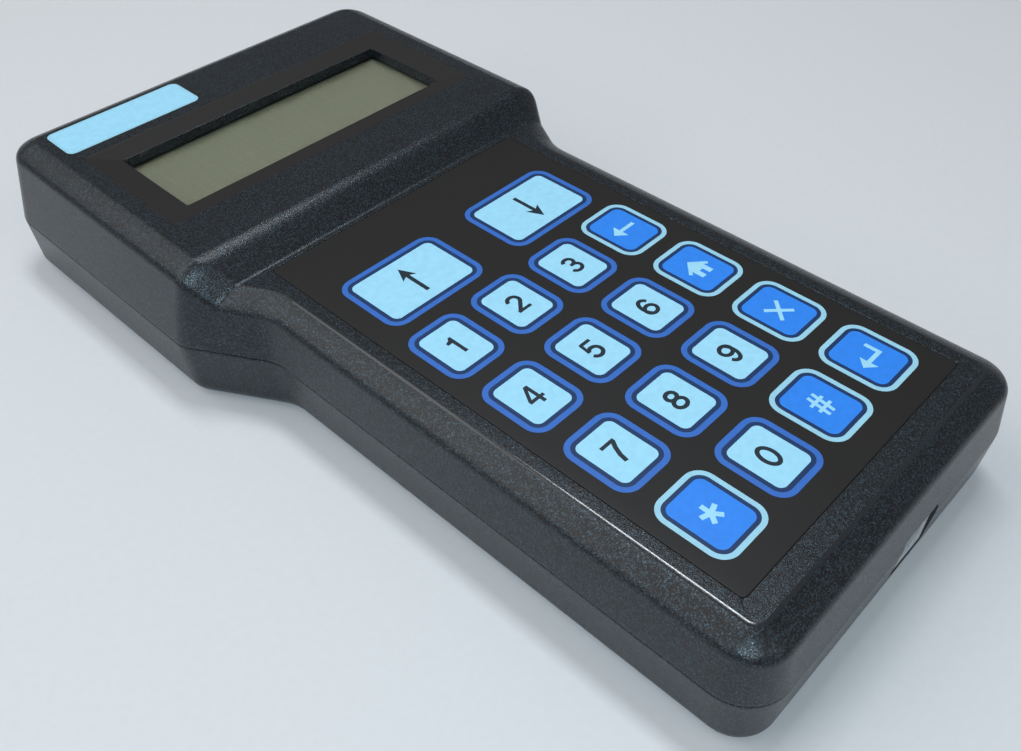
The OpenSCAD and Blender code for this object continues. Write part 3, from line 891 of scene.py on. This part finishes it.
SIGNS = {
    "1": [[[(-0.1, -2.9), (0.85, -2.9), (0.85, 2.9), (0.15, 2.9), (-0.3, 2.25), (-1.35, 1.8),
        (-1.35, 1.05), (-0.1, 1.05)]]],
    "2": [ribbon(arc(0.0, 1.0, 1.5, 172, -30, 24, 1.45) + [(-0.2, -1.25), (-1.3, -2.35)]),
        bar(-1.95, -2.9, 1.95, -2.05)],
    "3": [ribbon(arc(-0.1, 1.25, 1.35, 165, -90, 24, 1.2)),
        ribbon(arc(0.0, -1.15, 1.5, 90, -168, 24, 1.3)), bar(-0.65, -0.35, 0.2, 0.5)],
    "4": [bar(0.35, -2.9, 1.25, 2.9), bar(-2.05, -1.65, 2.05, -0.8),
        ribbon([(-1.75, -1.1), (0.55, 2.75)], 0.8)],
    "5": [bar(-1.35, 2.05, 1.75, 2.9), ribbon([(-1.05, 2.6), (-1.4, -0.35)], 0.8),
        ribbon(arc(0.0, -0.95, 1.55, 148, -160, 26, 1.5))],
    "6": nine(True),
    "7": [bar(-1.95, 2.05, 1.95, 2.9), ribbon([(1.5, 2.3), (0.55, 0.8), (-0.2, -1.0), (-0.55, -2.9)])],
    "8": [hoop(0, 1.3, 1.3, 1.15), hoop(0, -1.15, 1.55, 1.3)],
    "9": nine(False),
    "0": [hoop(0, 0, 1.6, 2.45)],
    "star": asterisk(),
    "hash": hash_sign(),
    "up": arrow(True),
    "down": arrow(False),
    "back": back_sign(),
    "home": house_sign(),
    "clear": cross_sign(),
    "enter": return_sign(),
}
BRIGHT_KEYS = ("star", "hash", "back", "home", "clear", "enter")

# widths of the rim and of the dark line inside it, then the inks of rim, line, face and sign
BRIGHT_PRINT = (1.15, 0.95, (RIM, NAVY, VIVID, PALE))
PALE_PRINT = (1.3, 1.05, (DEEP, NAVY, PALE, DARK))
RIM_INK, LINE_INK, FACE_INK, SIGN_INK = range(4)


def on_sign(x, y, sign):
    """Whether a point is on any stroke of a sign. A stroke's loops after the first are its holes."""
    return any(inside(x, y, edge) and not any(inside(x, y, hole) for hole in holes)
        for edge, *holes in sign)


def key_pad(name):
    """One key: a pad of the film, printed with a rim, a dark line, a face and a sign, all flush."""
    node = "key_" + name
    low, high = box_mm(node)
    cx, cy = (low.x + high.x) / 2, (low.y + high.y) / 2
    bright = name in BRIGHT_KEYS
    rim_w, line_w, inks = BRIGHT_PRINT if bright else PALE_PRINT

    def shape(inset):
        w, h = high.x - low.x - 2 * inset, high.y - low.y - 2 * inset
        return rounded_rect(w, h, KEY_R - inset, cx, cy)

    line, face = shape(rim_w), shape(rim_w + line_w)
    sign = [[[(cx + x, cy + y) for x, y in loop] for loop in stroke] for stroke in SIGNS[name]]

    def print_at(x, y):
        if on_sign(x, y, sign):
            return SIGN_INK
        if inside(x, y, face):
            return FACE_INK
        return LINE_INK if inside(x, y, line) else RIM_INK

    bm = bmesh.new()
    bottom, top = loft(bm, [level(shape(0), low.z), level(shape(0), high.z)])
    drawn = [line, face] + [loop for stroke in sign for loop in stroke]
    cover(bm, top, material_at=print_at, lines=drawn, z=high.z)
    bm.faces.new(bottom)
    piece = finish_mesh(bm, node + "_print", node + "_pad", weighted=False)
    paint(piece, "key_print_blue" if bright else "key_print_pale", *inks)
    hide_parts(node)


def overlay():
    """The film's black field, with a hole for each key that fits it closely."""
    bm = bmesh.new()
    low, high = box_mm("keypad_overlay")

    def field(inset):
        w, h = SHEET_SIZE.x - 2 * inset, SHEET_SIZE.y - 2 * inset
        return rounded_rect(w, h, SHEET_R - inset, SHEET.x, SHEET.y)

    sides = [level(field(inset), high.z - drop) for inset, drop in SHEET_EDGE]
    bottom, top = loft(bm, [level(field(0.0), low.z)] + sides)
    tops, bottoms = [], []
    for name in SIGNS:
        size, spot = size_mm("key_" + name), centre_mm("key_" + name)
        w, h = size.x + 2 * PRINT_GAP, size.y + 2 * PRINT_GAP
        hole = rounded_rect(w, h, KEY_R + PRINT_GAP, spot.x, spot.y)
        lower, upper = loft(bm, [level(hole, low.z), level(hole, high.z)])
        tops.append(upper)
        bottoms.append(lower)
    cover(bm, top, tops)
    cover(bm, bottom, bottoms)
    piece = finish_mesh(bm, "overlay_film", "case")
    paint(piece, "overlay_film")
    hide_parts("keypad_overlay")


def snap_domes():
    """A steel dome under each key: a thin, shallow cup with a flat rim."""
    bm = bmesh.new()
    low, high = box_mm("snap_domes")
    crown = high.z - DOME_CROWN
    shape = [(DOME_R / 3, crown), (DOME_R, low.z + DOME_T), (DOME_R, low.z),
        (DOME_R - DOME_RIM, low.z), (DOME_R / 3, crown - DOME_T)]
    for name in SIGNS:
        spot = centre_mm("key_" + name)
        upper, under = loft(bm, [level(circle(r, spot.x, spot.y), z) for r, z in shape])
        for ring, z in ((upper, high.z), (under, high.z - DOME_T)):
            tip = bm.verts.new(Vector((spot.x, spot.y, z)) * MM)
            for a, b in zip(ring, ring[1:] + ring[:1]):
                bm.faces.new((a, b, tip))
    piece = finish_mesh(bm, "snap_dome_set", "case")
    paint(piece, "dome_steel")
    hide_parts("snap_domes")


def label():
    """The blank name label, a film with a soft edge."""
    bm = bmesh.new()
    low, high = box_mm("name_label")
    bottom, top = loft(bm, [level(label_shape(0), low.z), level(label_shape(0), high.z - LABEL_EDGE),
        level(label_shape(-LABEL_EDGE), high.z)])
    bm.faces.new(bottom)
    field = label_shape(-LABEL_BORDER)
    cover(bm, top, lines=[field], z=high.z, material_at=lambda x, y: 0 if inside(x, y, field) else 1)
    piece = finish_mesh(bm, "blank_label", "case", weighted=False)
    paint(piece, "label_film", PALE, RIM)
    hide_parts("name_label")


# ---- data jack ----
# plug hole and latch slot: heights above the housing's foot, half widths, depth and lead-in
PLUG_LOW = 2.7
PLUG_HIGH = 9.5
PLUG_HALF_W = 4.9
PLUG_DEPTH = 12.0
LATCH_LOW = 1.1
LATCH_HALF_W = 2.0
JACK_SOFT = 0.25
MOUTH_LEAD = 0.3


def jack():
    """The jack's housing: a block with soft edges, its plug hole and the slot for the plug's latch. The
    hole's far end is black, as painted shade deep in the hole.
    """
    bm = bmesh.new()
    front, back = JACK_LOW.y, JACK_HIGH.y

    def body(inset, y):
        loop = rounded_rect(JACK_W - 2 * inset, JACK_H - 2 * inset, JACK_R, JACK_X, JACK_Z, 4)
        return [(x, y, z) for x, z in loop]

    def hole(grow, y):
        low, high, drop = PLUG_LOW - grow, PLUG_HIGH + grow, LATCH_LOW - grow
        side, latch = PLUG_HALF_W + grow, LATCH_HALF_W + grow
        shape = [(side, low), (side, high), (-side, high), (-side, low), (-latch, low), (-latch, drop),
            (latch, drop), (latch, low)]
        return [(JACK_X + x, y, JACK_LOW.z + z) for x, z in shape]

    rear, rim = loft(bm, [body(JACK_SOFT, back), body(0.0, back - JACK_SOFT),
        body(0.0, front + JACK_SOFT), body(0.08, front + 0.07), body(JACK_SOFT, front)])
    mouth, end = loft(bm, [hole(JACK_SOFT, front), hole(0.0, front + MOUTH_LEAD),
        hole(0.0, front + PLUG_DEPTH)])
    bm.faces.new(rear)
    # the far end of the plug hole takes the black plastic: painted shade
    bm.faces.new(end).material_index = 1
    swap = Matrix(((1, 0, 0), (0, 0, 1), (0, 1, 0)))
    bm.transform(swap.to_4x4())
    cover(bm, rim, [mouth])
    bm.transform(swap.inverted().to_4x4())
    piece = finish_mesh(bm, "jack_housing", "case")
    # the second material is the black of the painted shade at the hole's far end
    paint(piece, "jack_plastic", MATERIALS["jack_plastic"], MATERIALS["connector_plastic"])
    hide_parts("data_jack")


# ---- carried-over CAD nodes ----
def dress_nodes():
    """Every CAD node that still shows takes its slot's material."""
    for entry in frame["record"]["subparts"]:
        piece = frame["nodes"][entry["node"]]
        if not piece.hide_render:
            piece.data.materials.clear()
            piece.data.materials.append(MATERIALS[entry["material_slot"]])


def case():
    cutter = jack_cutter()
    for build, node in ((front_shell, "front_shell"), (back_shell, "back_shell")):
        piece = build(cutter)
        paint(piece, "case_plastic", *CASE_MATERIALS)
        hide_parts(node)
    bpy.data.objects.remove(cutter)


# ---- stage ----
ROOM_LIGHT = 0.18
BACKDROP_LIGHT = 0.74
ROOM_COLOR = (0.97, 0.98, 1.0, 1)
FLOOR_HALF = 3.0
FLOOR_DROP = 0.2
FLOOR_FADE = (0.45, 0.95)

# name, place, aim, width, height, power and colour, in metres and watts
LAMPS = [
    ("key", (-0.50, 0.60, 0.95), (0, 0.02, 0), 1.1, 0.9, 4.8, (1.0, 0.985, 0.97)),
    ("left", (-0.90, 0.20, 0.50), (0, 0, 0.01), 0.3, 0.2, 0.7, (0.93, 0.96, 1.0)),
    ("strip", (0.19, 0.155, 1.00), (0.19, 0.155, 0), 0.14, 0.41, 3.8, (0.88, 0.95, 1.0)),
    ("by_camera", (-0.42, -0.36, 0.60), (0, 0, 0.01), 0.05, 0.05, 2.2, (0.68, 0.88, 1.0)),
    ("front", (0.15, -1.10, 0.90), (0, 0, 0.01), 0.8, 0.6, 1.4, (1.0, 0.98, 0.96)),
]

SENSOR = 36.0
LENS = 36.24
CAMERA_PLACE = Vector((-0.13890, -0.14141, 0.17881))
CAMERA_AHEAD = Vector((0.52327, 0.48827, -0.69842))
CAMERA_RIGHT = Vector((0.68394, -0.72954, 0.00240))


def floor():
    """A plain pale floor, which fades into the backdrop at a distance."""
    bm = bmesh.new()
    bmesh.ops.create_grid(bm, x_segments=2, y_segments=2, size=FLOOR_HALF)
    bm.transform(Matrix.Translation((0, 0, -FLOOR_DROP * MM)))
    piece = link_mesh(bm, "floor")
    s = Shader("floor", (0.72, 0.72, 0.73), 0.6)
    s.color(s.blend(s.noise(2.0, 3.0), (0.70, 0.70, 0.71), (0.74, 0.74, 0.75)))
    reach = s.tree.nodes.new("ShaderNodeVectorMath")
    reach.operation = "LENGTH"
    s.tree.links.new(s.place, reach.inputs[0])
    fade = s.ramp(reach.outputs["Value"], *FLOOR_FADE, 1.0, 0.0)
    s.tree.links.new(fade, s.surface.inputs["Alpha"])
    piece.data.materials.append(s.material)


def area_light(name, place, aim, width, height, power, color):
    data = bpy.data.lights.new(name, "AREA")
    data.shape = "RECTANGLE"
    data.size = width
    data.size_y = height
    data.energy = power
    data.color = color
    lamp = bpy.data.objects.new(name, data)
    lamp.location = place
    lamp.rotation_euler = (Vector(aim) - Vector(place)).to_track_quat("-Z", "Y").to_euler()
    bpy.context.scene.collection.objects.link(lamp)


def lights():
    """The lamps, and a room that is dimmer for the object than it looks behind it."""
    for lamp in LAMPS:
        area_light(*lamp)
    world = bpy.data.worlds.new("room")
    world.use_nodes = True
    tree = world.node_tree
    seen = tree.nodes.new("ShaderNodeMapRange")
    seen.inputs["To Min"].default_value = ROOM_LIGHT
    seen.inputs["To Max"].default_value = BACKDROP_LIGHT
    backdrop = tree.nodes["Background"]
    backdrop.inputs["Color"].default_value = ROOM_COLOR
    path = tree.nodes.new("ShaderNodeLightPath")
    tree.links.new(path.outputs["Is Camera Ray"], seen.inputs["Value"])
    tree.links.new(seen.outputs["Result"], backdrop.inputs["Strength"])
    bpy.context.scene.world = world


def camera():
    """The camera stands left of the foot and looks down at the middle of the case."""
    data = bpy.data.cameras.new("camera")
    data.sensor_width = SENSOR
    data.lens = LENS
    data.clip_start = 0.01
    eye = bpy.data.objects.new("camera", data)
    ahead = CAMERA_AHEAD.normalized()
    up = CAMERA_RIGHT.normalized().cross(ahead)
    right = ahead.cross(up)
    turn = Matrix((right, up, -ahead)).transposed()
    eye.matrix_world = Matrix.Translation(CAMERA_PLACE) @ turn.to_4x4()
    bpy.context.scene.collection.objects.link(eye)
    bpy.context.scene.camera = eye


camera()
lights()
floor()
case()
overlay()
for key_name in SIGNS:
    key_pad(key_name)
snap_domes()
label()
jack()
dress_nodes()
bpy.context.scene.view_settings.view_transform = "Standard"
